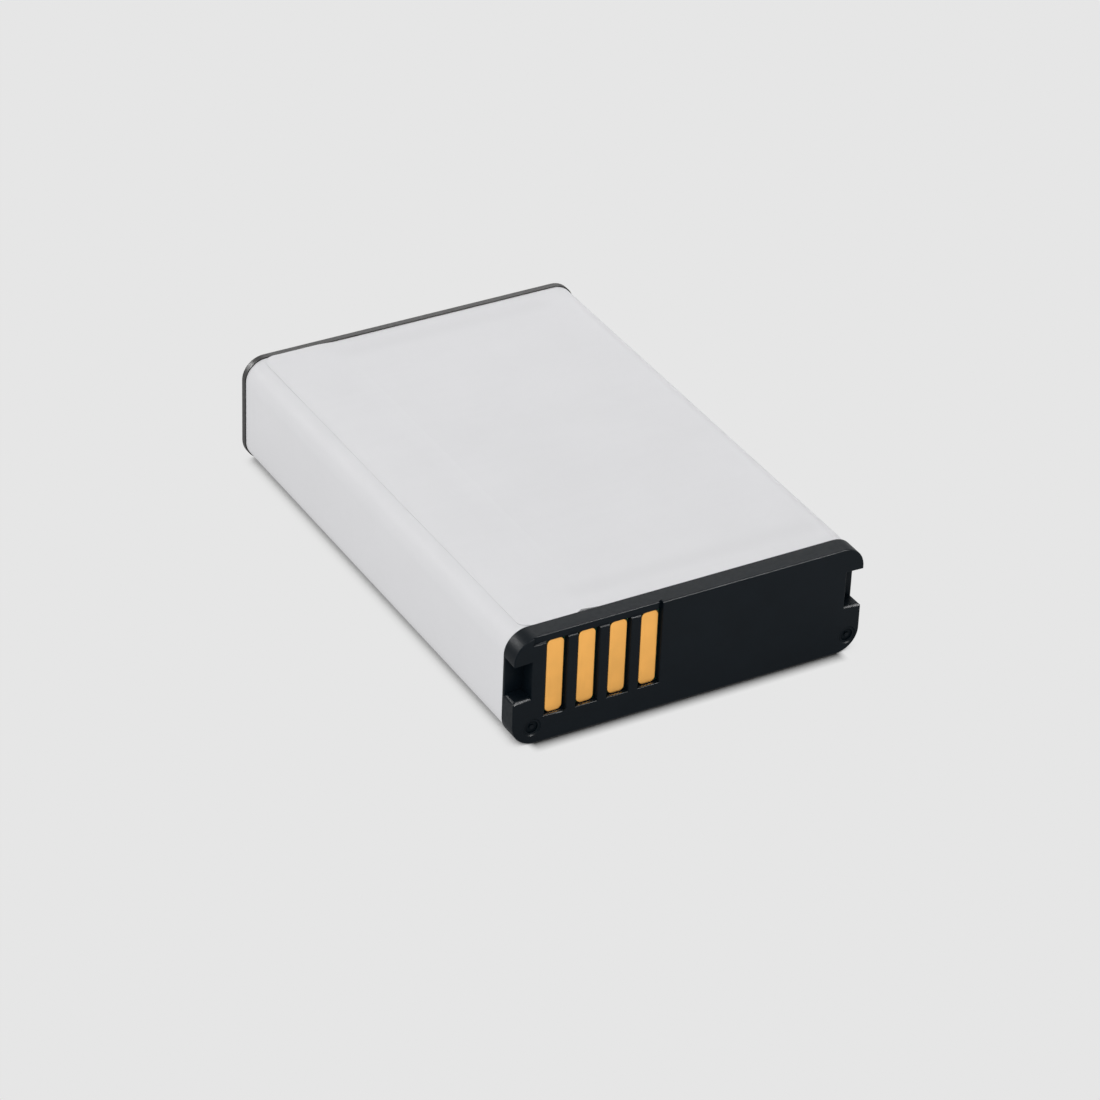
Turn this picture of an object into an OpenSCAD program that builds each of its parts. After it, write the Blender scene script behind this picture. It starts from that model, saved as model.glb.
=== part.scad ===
// Rechargeable battery pack of a handheld satellite navigation device.
// A flat sealed cell lies in a U-shaped moulded frame. A contact cap with four gold contacts
// closes the open end of the frame, and a film sleeve is wound round the middle with one lap on top.
// The pack lies flat: X runs across it, Y along it from the contact face to the far end, and Z is up.
// The origin is the centre of the underside. All sizes are in millimetres.

/* [Cell] */
// Width of the sealed cell
cell_w = 34; // [32:0.5:40]
// Thickness of the sealed cell
cell_t = 11.3; // [10.5:0.1:13]
// Length of the can with its lid
cell_l = 46.6; // [40:0.2:60]
// Radius of the can's four long edges
cell_r = 4.5; // [3.6:0.1:5]
// Radius round the can's closed end
cell_end_r = 0.8; // [0.4:0.1:1.5]
// Inset of the weld line from the can's edge
weld_inset = 0.5; // [0.4:0.1:0.8]
// Width and depth of the weld line
weld_groove = 0.12; // [0.08:0.02:0.16]
// Width of the safety vent's score
vent_w = 4.6; // [3:0.2:5]
// Height of the safety vent's score
vent_h = 2.6; // [2:0.2:3]
// Corner radius of the safety vent's score
vent_r = 0.8; // [0.4:0.1:0.9]
// Distance from the rivet to the vent's centre
vent_x = 6.95; // [6.5:0.05:7.5]

/* [Case] */
// Thickness of the frame's rails beside the cell
rail_w = 1.75; // [1.5:0.05:2.5]
// Height of the end rims above the wrapped middle
rim_step = 0.25; // [0.25:0.05:0.5]
// Corner radius of the end rims
rim_r = 2.4; // [1.8:0.1:3]
// Rounding of the rims' outer edges
rim_fillet = 0.15; // [0.1:0.05:0.6]
// Gap round a moulded piece that is pushed into another
push_gap = 0.05; // [0.03:0.01:0.1]

/* [Contact cap] */
// Thickness of the contact face
face_wall = 0.8; // [0.7:0.05:1.2]
// Depth of the cap that stays bare
rim_d = 2.1; // [2.1:0.1:2.8]
// Depth of the cap's skirt under the sleeve
skirt_d = 2.1; // [2:0.1:2.6]
// Thickness of the skirt above and below
skirt_wall = 0.5; // [0.4:0.05:0.7]
// Thickness of the skirt at its sides
skirt_side = 0.85; // [0.8:0.05:1]
// Corner radius inside the skirt
skirt_r = 1.3; // [0.8:0.1:1.8]

/* [Contacts] */
// Number of contacts
contact_n = 4; // [3:1:5]
// Distance from one contact to the next
contact_pitch = 3.35; // [3.2:0.01:3.6]
// Distance from the pack's side to the first contact's middle
contact_inset = 4.5; // [4.3:0.1:6]
// Width of a contact
contact_w = 1.85; // [1.5:0.05:2.1]
// Height of a contact's lower end above the underside
contact_floor = 2.8; // [2.4:0.05:4]
// Distance from a contact's upper end to the pack's top
contact_head = 0.9; // [0.85:0.05:1.5]
// Thickness of a contact
contact_t = 0.4; // [0.2:0.05:0.6]
// Corner radius of a contact
contact_r = 0.6; // [0.3:0.05:0.7]
// Rounding of a contact's front edge
contact_fillet = 0.08; // [0.04:0.02:0.14]
// Gap between a contact and the sides of its window
window_gap = 0.22; // [0.1:0.02:0.24]
// Gap between a contact's ends and its window
window_end_gap = 0.05; // [0.05:0.05:0.2]
// Depth of the lead-in channel above the windows
channel_d = 0.2; // [0.1:0.05:0.4]
// Reach of the channel past the first window
channel_reach = 1.35; // [0.8:0.05:1.4]
// Width of the slot at the channel's other end
slot_w = 0.3; // [0.2:0.05:0.5]
// Depth of that slot
slot_d = 0.4; // [0.3:0.05:0.6]

/* [Latch notches] */
// Reach of a latch notch into the cap's side
notch_w = 1.9; // [1.5:0.05:2]
// Height of a latch notch
notch_h = 4; // [3:0.1:4.4]
// Depth of a latch notch behind the contact face
notch_d = 1.8; // [1.4:0.05:1.9]
// Height of a latch notch's lower wall
notch_floor = 5.15; // [4.2:0.05:5.4]
// Wall between a latch notch and the circuit board
notch_wall = 0.8; // [0.6:0.05:1]
// Bevel on the outer edges of a latch notch's lower wall
notch_bevel = 0.25; // [0.1:0.05:0.4]

/* [Gate marks] */
// Diameter of a gate mark's recess
gate_dia = 1.3; // [0.9:0.1:1.5]
// Diameter of the stub in a gate mark
gate_stub_dia = 0.45; // [0.3:0.05:0.6]
// Depth of a gate mark
gate_d = 0.25; // [0.1:0.05:0.4]
// Diameter of the shallow dish round a gate mark
gate_dish_dia = 1.9; // [1.6:0.1:2]
// Depth of that dish
gate_dish_d = 0.1; // [0.06:0.02:0.14]
// Distance from the side to the gate mark beside the contacts
gate_inset_near = 2.1; // [1.6:0.1:2.4]
// Distance from the side to the gate mark at the plain end
gate_inset_far = 1.3; // [1.2:0.1:2.4]
// Height of the gate marks above the underside
gate_z = 1.85; // [1.4:0.05:2]

/* [End frame] */
// Depth of the bare rim at the far end
end_rim_d = 0.75; // [0.6:0.05:2]
// Thickness of the end wall under the sleeve
end_wall = 1.05; // [0.5:0.05:1.5]
// Reach of the rails' lips over the cell's round edges
lip_reach = 2.8; // [1.5:0.1:3]
// Gap between the rails' ends and the cap's skirt
rail_gap = 0.1; // [0.05:0.05:0.3]
// Length of a snap tongue
tongue_l = 1.8; // [1.4:0.1:1.9]
// Thickness of a snap tongue
tongue_t = 1.2; // [1:0.05:1.3]
// Height of a snap tongue
tongue_h = 5; // [3:0.2:6]
// Height of the bead on a snap tongue
snap_h = 0.25; // [0.15:0.05:0.35]
// Length of the bead on a snap tongue
snap_l = 0.6; // [0.4:0.1:0.7]
// Thickness of the foam pad behind the cell
foam_t = 2; // [1:0.1:3]
// Margin between the foam pad and the outline of the cell
foam_margin = 1; // [0.6:0.1:2]

/* [Space before the cell] */
// Depth between the circuit board and the cell's lid
lid_room = 5; // [4.6:0.1:7]
// Thickness of the insulator on the lid
insulator_t = 0.2; // [0.1:0.05:0.3]
// Margin between the insulator and the outline of the cell
insulator_margin = 0.8; // [0.7:0.1:1.5]
// Gap round the parts that pass through the insulator
insulator_gap = 0.3; // [0.2:0.05:0.4]
// Wall of the spacer that holds the board forward
spacer_wall = 0.8; // [0.6:0.05:1]
// Gap between the spacer and the board's edge, and between the spacer and the frame's rails
spacer_inset = 0.2; // [0.1:0.05:0.3]
// Distance from the rivet to the spacer's rib
spacer_rib_x = 7.3; // [7:0.1:7.6]

/* [Circuit board] */
// Thickness of the circuit board
board_t = 0.8; // [0.6:0.1:1]
// Height of the board's lower edge above the underside
board_floor = 1.8; // [1.5:0.05:2]
// Distance from the board's upper edge to the pack's top
board_head = 0.8; // [0.8:0.05:0.85]
// Gap round the board in the cap
board_gap = 0.1; // [0.05:0.01:0.15]

/* [Terminals] */
// Width of the rivet's gasket
gasket_w = 5; // [4:0.1:5.2]
// Height of the rivet's gasket
gasket_h = 3.4; // [3:0.1:4]
// Corner radius of the rivet's gasket
gasket_r = 1.2; // [0.6:0.1:1.4]
// Thickness of the rivet's gasket
gasket_t = 0.35; // [0.2:0.05:0.5]
// Diameter of the rivet's head
rivet_dia = 2.8; // [2.4:0.1:3]
// Thickness of the rivet's head
rivet_t = 0.5; // [0.4:0.05:0.8]
// Rounding of the rivet's head
rivet_fillet = 0.12; // [0.06:0.02:0.2]
// Diameter of the rivet's shank
shank_dia = 1.6; // [1.2:0.1:2]
// Diameter of the electrolyte filling plug
plug_dia = 1.6; // [1.2:0.1:2]
// Thickness of the filling plug
plug_t = 0.2; // [0.1:0.05:0.3]
// Distance from the rivet to the filling plug
plug_x = 5.2; // [4.8:0.1:5.6]
// Length of the clad plate on the lid
clad_l = 4.5; // [4:0.1:4.8]
// Thickness of the clad plate
clad_t = 0.15; // [0.1:0.05:0.25]
// Distance from the cell's side to the clad plate
clad_inset = 3.5; // [3.2:0.1:3.8]
// Thickness of the nickel strips
strip_t = 0.15; // [0.1:0.01:0.2]
// Width of the nickel strips
strip_w = 3; // [2:0.1:3.2]
// Inner bend radius of the nickel strips
strip_bend = 0.3; // [0.2:0.05:0.5]
// Length of a strip's foot on the circuit board
foot_l = 2.4; // [2:0.1:2.8]
// Distance from the cell's side to the thermal cut-off
cutoff_inset = 7.3; // [7:0.1:7.5]
// Length of the thermal cut-off
cutoff_l = 5.5; // [5:0.1:6]
// Width of the thermal cut-off
cutoff_w = 3.4; // [3.2:0.1:4]
// Thickness of the thermal cut-off
cutoff_t = 1.1; // [1.1:0.05:1.4]
// Corner radius of the thermal cut-off
cutoff_r = 0.6; // [0.4:0.1:0.8]
// Rounding of the thermal cut-off's outer edge
cutoff_fillet = 0.2; // [0.1:0.05:0.3]
// Reach of the strip past the thermal cut-off
cutoff_reach = 2.3; // [1.8:0.1:2.6]

/* [Parts on the board] */
// Width of a chip resistor or capacitor
chip_w = 0.8; // [0.5:0.05:0.9]
// Length of a chip resistor or capacitor
chip_l = 1.6; // [1.2:0.1:1.8]
// Height of a chip resistor
resistor_t = 0.45; // [0.3:0.05:0.6]
// Height of a chip capacitor
capacitor_t = 0.8; // [0.5:0.05:0.9]
// Distance between neighbouring chip resistors or capacitors
chip_pitch = 1.6; // [1.4:0.1:1.7]
// Height of the moulded chip packages
package_t = 0.9; // [0.7:0.05:1.1]
// Thickness of the packages' leads
lead_t = 0.15; // [0.1:0.01:0.2]
// Width of the protection and identification chips
small_package_w = 2.9; // [2.5:0.1:3]
// Body height of the protection chip
protection_h = 1.6; // [1.2:0.1:1.6]
// Body height of the identification chip
identification_h = 1.3; // [1.1:0.1:1.6]
// Distance between the protection chip's leads
protection_pitch = 0.95; // [0.8:0.05:1]
// Distance between the identification chip's leads
identification_pitch = 1.9; // [1.6:0.1:1.9]
// Reach of the small chips' leads past their bodies
small_reach = 0.6; // [0.4:0.05:0.6]
// Width of the pair of transistors
mosfet_w = 3; // [2.6:0.1:3]
// Body height of the pair of transistors
mosfet_h = 4.4; // [3.6:0.1:4.4]
// Distance between the transistors' leads
mosfet_pitch = 0.65; // [0.5:0.05:0.65]
// Reach of the transistors' leads past their body
mosfet_reach = 1; // [0.6:0.1:1]
// Distance from the board's middle to the transistors
mosfet_x = 1.2; // [1.1:0.1:1.3]
// Distance from the transistors to the small chips on either side
package_pitch = 4.9; // [4.8:0.1:5]
// Distance from the board's middle line up to the small chips
package_rise = 1.7; // [1.5:0.1:1.8]
// Distance from the board's middle line down to the row of chip parts
row_drop = 2.2; // [2.1:0.1:2.4]
// Distance from the transistors to the row of chip parts on either side
row_gap = 3; // [3:0.1:3.2]

/* [Film sleeve] */
// Thickness of the film
film_t = 0.12; // [0.05:0.01:0.12]
// Distance from the pack's side to the film's free edge
seam_inset = 1.9; // [1.5:0.1:3]
// Width of the lap of film over film
lap_w = 6.1; // [4:0.1:10]
// Length of the ramp where the lap ends
ramp_w = 0.6; // [0.3:0.1:1]
// Corner radius of the film's free edge
seam_r = 1.3; // [0.8:0.1:2]
// Width of the gap between the film's edge and the cap beside the lap
nick_d = 0.32; // [0.1:0.02:0.5]
// Length along which that gap closes
nick_l = 3.6; // [2:0.1:5]

/* [Hidden] */
$fn = 48;

// How far a cutting shape runs past the face that it cuts
past = 1;

// Overall sizes, built up from the cell outwards
wrap_w = cell_w + 2 * rail_w;
wrap_t = cell_t;
wrap_r = rim_r - rim_step;
case_w = wrap_w + 2 * rim_step;
case_t = wrap_t + 2 * rim_step;
case_l = face_wall + board_t + lid_room + cell_l + foam_t + end_wall + end_rim_d;
mid_z = case_t / 2;

// Places along the pack, from the contact face to the far end
y_face = -case_l / 2;
y_board = y_face + face_wall;
y_room = y_board + board_t;
y_lid = y_room + lid_room;
y_foam = y_lid + cell_l;
y_end_wall = y_foam + foam_t;
y_end_rim = y_end_wall + end_wall;
y_rim = y_face + rim_d;
y_skirt = y_rim + skirt_d;
y_rail = y_skirt + rail_gap;

// Board and the pocket that holds it
board_w = case_w - 2 * (notch_w + notch_wall + board_gap);
board_h = case_t - board_floor - board_head;
board_z = board_floor + board_h / 2;
skirt_in_w = wrap_w - 2 * skirt_side;
skirt_in_h = wrap_t - 2 * skirt_wall;

// Contacts and their windows
contact_h = case_t - contact_floor - contact_head;
window_w = contact_w + 2 * window_gap;
window_z = contact_floor - window_end_gap;
window_h = contact_h + 2 * window_end_gap;
function contact_x(i) = -case_w / 2 + contact_inset + i * contact_pitch;
channel_x0 = contact_x(0) - window_w / 2 - channel_reach;
channel_x1 = contact_x(contact_n - 1) + window_w / 2;

// Snap tongues of the frame
tongue_x = skirt_in_w / 2 - push_gap - tongue_t;
snap_y = y_rail - tongue_l / 2;

// Parts on the lid
y_insulator = y_lid - insulator_t;
y_strip = y_lid - gasket_t - rivet_t - strip_t;
clad_x = -cell_w / 2 + clad_inset;
lead_x = cell_w / 2 - cutoff_inset;
cutoff_x = lead_x - cutoff_l;
spacer_w = board_w - 2 * spacer_inset;
spacer_h = board_h - 2 * spacer_inset;

// Film sleeve
seam_x = -case_w / 2 + seam_inset;
lap_x = seam_x + lap_w;

// Flat shapes

// Rectangle with round corners, centred
module round_rect(w, h, r) {
    square([w - 2 * r, h], center = true);
    square([w, h - 2 * r], center = true);
    for (sx = [-1, 1])
        for (sy = [-1, 1])
            translate([sx * (w / 2 - r), sy * (h / 2 - r)]) circle(r);
}

// Rectangle from the Y axis to x = d, with the two corners on the axis rounded
module nosed_rect(d, h, f) {
    translate([f, -h / 2]) square([d - f, h]);
    translate([0, f - h / 2]) square([d, h - 2 * f]);
    for (s = [-1, 1]) translate([f, s * (h / 2 - f)]) circle(f);
}

// Half of the same, against the Y axis, for turning
module nosed_half(r, d, f) {
    square([r - f, d]);
    translate([0, f]) square([r, d - f]);
    translate([r - f, f]) circle(f);
}

// Placing helpers

// Stretches a flat outline, drawn in X and Z, along Y from y0 by d
module along_y(y0, d) {
    translate([0, y0 + d, 0]) rotate([90, 0, 0]) linear_extrude(d) children();
}

// Stretches a flat outline, drawn in X and Y, up and down from mid height by half of h
module across_z(z, h) {
    translate([0, 0, z - h / 2]) linear_extrude(h) children();
}

// Block with round long edges and a rounded front, from y = 0 to y = d
module nosed_block(w, h, r, d, f) {
    for (sx = [-1, 1])
        for (sz = [-1, 1])
            translate([sx * (w / 2 - r), 0, sz * (h / 2 - r)])
                rotate([-90, 0, 0]) rotate_extrude() nosed_half(r, d, f);
    translate([r - w / 2, 0, 0]) rotate([90, 0, 90]) linear_extrude(w - 2 * r) nosed_rect(d, h, f);
    translate([0, 0, r - h / 2]) linear_extrude(h - 2 * r) rotate(90) nosed_rect(d, w, f);
}

// Outline of the wrapped middle, grown by g all round
module wrap_outline(g = 0) {
    translate([0, mid_z]) round_rect(wrap_w + 2 * g, wrap_t + 2 * g, wrap_r + g);
}

// Outline of the cell, grown by g at its round sides only
module cell_outline(g = 0) {
    translate([0, mid_z]) round_rect(cell_w + 2 * g, cell_t, cell_r);
}

// Bent strip in X and Y: runs along x from x0 to x1, turns forward to y1 and back along x by foot
module strip_profile(x0, x1, y0, y1, foot) {
    s = sign(x1 - x0);
    outer = strip_bend + strip_t;
    translate([min(x0, x1 - s * outer), y0]) square([abs(x1 - x0) - outer, strip_t]);
    translate([min(x1, x1 - s * strip_t), y1 + outer]) square([strip_t, y0 + strip_t - y1 - 2 * outer]);
    translate([min(x1 - s * outer, x1 - s * foot), y1]) square([foot - outer, strip_t]);
    for (end = [0, 1])
        translate([x1 - s * outer, end == 0 ? y0 + strip_t - outer : y1 + outer])
            intersection() {
                difference() {
                    circle(outer);
                    circle(strip_bend);
                }
                translate([s > 0 ? 0 : -outer, end == 0 ? 0 : -outer]) square(outer);
            }
}

// Moulded case

// Round recess with a stub in its middle, left by the mould's gate in a shallow dish
module gate_mark(x) {
    translate([x, y_face, gate_z]) rotate([90, 0, 0]) {
        difference() {
            translate([0, 0, -gate_d]) cylinder(d = gate_dia, h = gate_d + past);
            translate([0, 0, -gate_d - past]) cylinder(d = gate_stub_dia, h = gate_d + past);
        }
        translate([0, 0, -gate_dish_d])
            cylinder(d1 = gate_dish_dia - 2 * gate_dish_d, d2 = gate_dish_dia + 2 * past, h = gate_dish_d + past);
    }
}

// Window of one contact through the face
module contact_window(i) {
    translate([contact_x(i) - window_w / 2, y_face - past, window_z])
        cube([window_w, face_wall + 2 * past, window_h]);
}

// Latch notch, open to the face and to the side, on the side that s gives
module latch_notch(s) {
    side = s * case_w / 2;
    translate([side + s * (past - notch_w) / 2, y_face + (notch_d - past) / 2, notch_floor + notch_h / 2])
        cube([notch_w + past, notch_d + past, notch_h], center = true);
    along_y(y_face - past, notch_d + past)
        polygon([[side - s * (notch_bevel + past), notch_floor + past], [side + s * past, notch_floor + past],
            [side + s * past, notch_floor - notch_bevel - past]]);
    translate([side + s * (past - notch_w) / 2 - (notch_w + past) / 2, 0, 0])
        rotate([90, 0, 90]) linear_extrude(notch_w + past)
            polygon([[y_face + notch_bevel + past, notch_floor + past], [y_face - past, notch_floor + past],
                [y_face - past, notch_floor - notch_bevel - past]]);
}

// Catch in the skirt's side for the bead of a snap tongue
module snap_catch(s) {
    translate([s * skirt_in_w / 2, snap_y, mid_z])
        cube([2 * (snap_h + push_gap), snap_l + 2 * push_gap, tongue_h + 2 * push_gap], center = true);
}

module contact_cap() {
    color([0.12, 0.135, 0.15])
        difference() {
            union() {
                translate([0, y_face, mid_z]) nosed_block(case_w, case_t, rim_r, rim_d, rim_fillet);
                along_y(y_rim, skirt_d) wrap_outline();
            }
            along_y(y_board, rim_d) translate([0, board_z])
                square([board_w + 2 * board_gap, board_h + 2 * board_gap], center = true);
            along_y(y_rim, skirt_d + past) translate([0, mid_z]) round_rect(skirt_in_w, skirt_in_h, skirt_r);
            for (i = [0 : contact_n - 1]) contact_window(i);
            translate([channel_x0, y_face - past, window_z + window_h])
                cube([channel_x1 - channel_x0, channel_d + past, case_t]);
            translate([channel_x1 - slot_w, y_face - past, window_z + window_h])
                cube([slot_w, slot_d + past, case_t]);
            for (s = [-1, 1]) {
                latch_notch(s);
                snap_catch(s);
            }
            gate_mark(gate_inset_near - case_w / 2);
            gate_mark(case_w / 2 - gate_inset_far);
        }
}

// Tongue at a rail's end, with a bead on its outer side
module snap_tongue(s) {
    across_z(mid_z, tongue_h) {
        translate([s > 0 ? tongue_x : -tongue_x - tongue_t, y_rail - tongue_l]) square([tongue_t, tongue_l]);
        translate([s * (tongue_x + tongue_t), snap_y]) polygon([
            [0, -snap_l / 2], [s * snap_h, 0], [s * snap_h, snap_l / 4], [0, snap_l / 2]]);
    }
}

module end_frame() {
    lip_x = cell_w / 2 - lip_reach;
    color([0.17, 0.17, 0.18]) {
        translate([0, y_end_rim + end_rim_d, mid_z]) rotate(180)
            nosed_block(case_w, case_t, rim_r, end_rim_d, rim_fillet);
        along_y(y_end_wall, end_wall) wrap_outline();
        along_y(y_rail, y_end_wall - y_rail)
            difference() {
                wrap_outline();
                cell_outline(push_gap);
                translate([-lip_x, -past]) square([2 * lip_x, case_t + 2 * past]);
            }
        for (s = [-1, 1]) snap_tongue(s);
    }
}

// Cell and what is fixed to its lid

// Groove along a round rectangle on the lid, g wide and deep
module lid_groove(x, w, h, r, g) {
    along_y(y_lid - past, past + g) translate([x, mid_z])
        difference() {
            round_rect(w, h, r);
            round_rect(w - 2 * g, h - 2 * g, r - g);
        }
}

module cell() {
    color([0.74, 0.75, 0.76])
        difference() {
            translate([0, y_foam, mid_z]) rotate(180)
                nosed_block(cell_w, cell_t, cell_r, cell_l, cell_end_r);
            lid_groove(0, cell_w - 2 * weld_inset, cell_t - 2 * weld_inset, cell_r - weld_inset, weld_groove);
            lid_groove(vent_x, vent_w, vent_h, vent_r, weld_groove);
        }
}

module terminal_gasket() {
    color([0.9, 0.9, 0.88])
        along_y(y_lid - gasket_t, gasket_t)
            difference() {
                translate([0, mid_z]) round_rect(gasket_w, gasket_h, gasket_r);
                translate([0, mid_z]) circle(d = shank_dia);
            }
}

module terminal_rivet() {
    color([0.7, 0.68, 0.65])
        translate([0, y_lid - gasket_t - rivet_t, mid_z]) rotate([-90, 0, 0])
            rotate_extrude() {
                nosed_half(rivet_dia / 2, rivet_t, rivet_fillet);
                square([shank_dia / 2, rivet_t + gasket_t]);
            }
}

module fill_plug() {
    color([0.8, 0.8, 0.8])
        translate([-plug_x, y_lid - plug_t, mid_z]) rotate([-90, 0, 0])
            rotate_extrude() nosed_half(plug_dia / 2, plug_t, plug_t / 2);
}

module clad_plate() {
    color([0.72, 0.72, 0.7])
        translate([clad_x, y_lid - clad_t, mid_z - strip_w / 2]) cube([clad_l, clad_t, strip_w]);
}

module lid_insulator() {
    g = insulator_gap;
    color([0.2, 0.42, 0.3])
        along_y(y_insulator, insulator_t)
            translate([0, mid_z])
                difference() {
                    round_rect(cell_w - 2 * insulator_margin, cell_t - 2 * insulator_margin,
                        cell_r - insulator_margin);
                    round_rect(gasket_w + 2 * g, gasket_h + 2 * g, gasket_r + g);
                    translate([-plug_x, 0]) circle(d = plug_dia + 2 * g);
                    translate([clad_x - g, -strip_w / 2 - g]) square([clad_l + 2 * g, strip_w + 2 * g]);
                }
}

// Nickel strips

module positive_tab() {
    color([0.78, 0.77, 0.74])
        across_z(mid_z, strip_w)
            strip_profile(clad_x, clad_x + clad_l, y_lid - clad_t - strip_t, y_room, foot_l);
}

module negative_tab() {
    color([0.78, 0.77, 0.74])
        translate([-rivet_dia / 2, y_strip, mid_z - strip_w / 2])
            cube([cutoff_x + rivet_dia / 2, strip_t, strip_w]);
}

module cutoff_lead() {
    color([0.78, 0.77, 0.74])
        across_z(mid_z, strip_w)
            strip_profile(lead_x, lead_x + cutoff_reach, y_strip, y_room, foot_l);
}

module thermal_cutoff() {
    color([0.1, 0.1, 0.11])
        translate([cutoff_x + cutoff_l / 2, y_insulator - cutoff_t, mid_z])
            nosed_block(cutoff_l, cutoff_w, cutoff_r, cutoff_t, cutoff_fillet);
}

// Spacer that presses the board against the cap's face and stands on the lid's insulator
module board_spacer() {
    color([0.86, 0.86, 0.84])
        along_y(y_room, y_insulator - y_room)
            difference() {
                intersection() {
                    translate([0, board_z]) square([spacer_w, spacer_h], center = true);
                    cell_outline(-spacer_inset);
                }
                difference() {
                    translate([0, board_z])
                        round_rect(spacer_w - 2 * spacer_wall, spacer_h - 2 * spacer_wall, spacer_wall);
                    translate([-spacer_rib_x - spacer_wall / 2, 0]) square([spacer_wall, case_t]);
                }
            }
}

// Circuit board and what is soldered to it

module circuit_board() {
    color([0.1, 0.22, 0.16])
        translate([-board_w / 2, y_board, board_floor]) cube([board_w, board_t, board_h]);
}

// Gold-plated contact block of place i, counted from the pack's side
module contact_block(i) {
    color([0.91, 0.67, 0.34])
        translate([contact_x(i), y_board - contact_t, contact_floor + contact_h / 2])
            nosed_block(contact_w, contact_h, contact_r, contact_t, contact_fillet);
}

module contact_positive() { contact_block(0); }
module contact_data() { contact_block(1); }
module contact_sense() { contact_block(2); }
module contact_negative() { contact_block(contact_n - 1); }

// Chip package with n leads on each long side; w runs along x and h along z
module chip_package(x, z, w, h, n, pitch, reach) {
    stand = lead_t / 2;
    translate([x, y_room, z]) {
        translate([-w / 2, stand, -h / 2]) cube([w, package_t - stand, h]);
        for (s = [-1, 1])
            for (i = [0 : n - 1]) {
                lead_w = pitch / 2;
                lx = (i - (n - 1) / 2) * pitch - lead_w / 2;
                knee = s * (h + reach) / 2;
                translate([lx, 0, s > 0 ? knee : -h / 2 - reach]) cube([lead_w, lead_t, reach / 2]);
                translate([lx, 0, s > 0 ? knee - lead_t : knee]) cube([lead_w, package_t / 2 + lead_t, lead_t]);
                translate([lx, package_t / 2, s > 0 ? h / 2 : knee]) cube([lead_w, lead_t, reach / 2]);
            }
    }
}

// Row of n chip parts soldered upright, of height t, from place x along x
module chip_row(x, n, t) {
    for (i = [0 : n - 1])
        translate([x + i * chip_pitch - chip_w / 2, y_room, board_z - row_drop - chip_l / 2])
            cube([chip_w, t, chip_l]);
}

module protection_chip() {
    color([0.1, 0.1, 0.1])
        chip_package(mosfet_x - package_pitch, board_z + package_rise, small_package_w, protection_h, 3,
            protection_pitch, small_reach);
}

module mosfet_pair() {
    color([0.1, 0.1, 0.1])
        chip_package(mosfet_x, board_z, mosfet_w, mosfet_h, 4, mosfet_pitch, mosfet_reach);
}

module identification_chip() {
    color([0.1, 0.1, 0.1])
        chip_package(mosfet_x + package_pitch, board_z + package_rise, small_package_w, identification_h, 2,
            identification_pitch, small_reach);
}

module thermistor() {
    color([0.35, 0.2, 0.12]) chip_row(mosfet_x + row_gap + 2 * chip_pitch, 1, resistor_t);
}

module chip_resistors() {
    color([0.08, 0.08, 0.09]) chip_row(mosfet_x - row_gap - 2 * chip_pitch, 3, resistor_t);
}

module chip_capacitors() {
    color([0.62, 0.5, 0.36]) chip_row(mosfet_x + row_gap, 2, capacitor_t);
}

// Soft pad and sleeve

module end_foam() {
    color([0.25, 0.25, 0.26])
        along_y(y_foam, foam_t) translate([0, mid_z])
            round_rect(cell_w - 2 * foam_margin, cell_t - 2 * foam_margin, cell_r - foam_margin);
}

// Second layer of film on the top, from the free edge to the end of the layer beneath
module film_lap() {
    lap_l = y_end_rim - y_rim;
    intersection() {
        along_y(y_rim, lap_l)
            difference() {
                wrap_outline(2 * film_t);
                wrap_outline(film_t / 2);
            }
        translate([0, 0, mid_z])
            linear_extrude(case_t) {
                translate([seam_x + seam_r, y_rim]) square([lap_w - seam_r, lap_l]);
                translate([seam_x, y_rim + seam_r]) square([lap_w, lap_l - 2 * seam_r]);
                for (y = [y_rim + seam_r, y_end_rim - seam_r]) translate([seam_x + seam_r, y]) circle(seam_r);
            }
    }
    along_y(y_rim, lap_l) translate([lap_x, mid_z + wrap_t / 2 + film_t / 2])
        polygon([[-film_t, 0], [-film_t, 1.5 * film_t], [0, 1.5 * film_t], [ramp_w, film_t / 2], [ramp_w, 0]]);
}

module film_sleeve() {
    nick_x = lap_x + ramp_w / 2;
    color([0.86, 0.86, 0.87])
        difference() {
            union() {
                along_y(y_rim, y_end_rim - y_rim)
                    difference() {
                        wrap_outline(film_t);
                        wrap_outline();
                    }
                film_lap();
            }
            translate([0, 0, mid_z])
                linear_extrude(case_t) polygon([[nick_x - ramp_w, y_rim - past], [nick_x - ramp_w, y_rim],
                    [nick_x, y_rim + nick_d], [nick_x + nick_l, y_rim], [nick_x + nick_l, y_rim - past]]);
        }
}

contact_cap();
end_frame();
cell();
terminal_gasket();
terminal_rivet();
fill_plug();
clad_plate();
lid_insulator();
positive_tab();
negative_tab();
thermal_cutoff();
cutoff_lead();
board_spacer();
circuit_board();
contact_positive();
contact_data();
contact_sense();
contact_negative();
protection_chip();
mosfet_pair();
identification_chip();
thermistor();
chip_resistors();
chip_capacitors();
end_foam();
film_sleeve();
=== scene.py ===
"""Looks of a handheld navigation device's battery pack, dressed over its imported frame.

The pack lies flat: X runs across it, Y along it from the contact face to the far end, and Z is up.
The origin is the centre of the underside. Every place is in metres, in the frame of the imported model.
"""

from __future__ import annotations

import logging
import math
import sys
from dataclasses import dataclass
from enum import Enum

import bmesh
import bpy
from mathutils import Matrix, Vector

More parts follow.
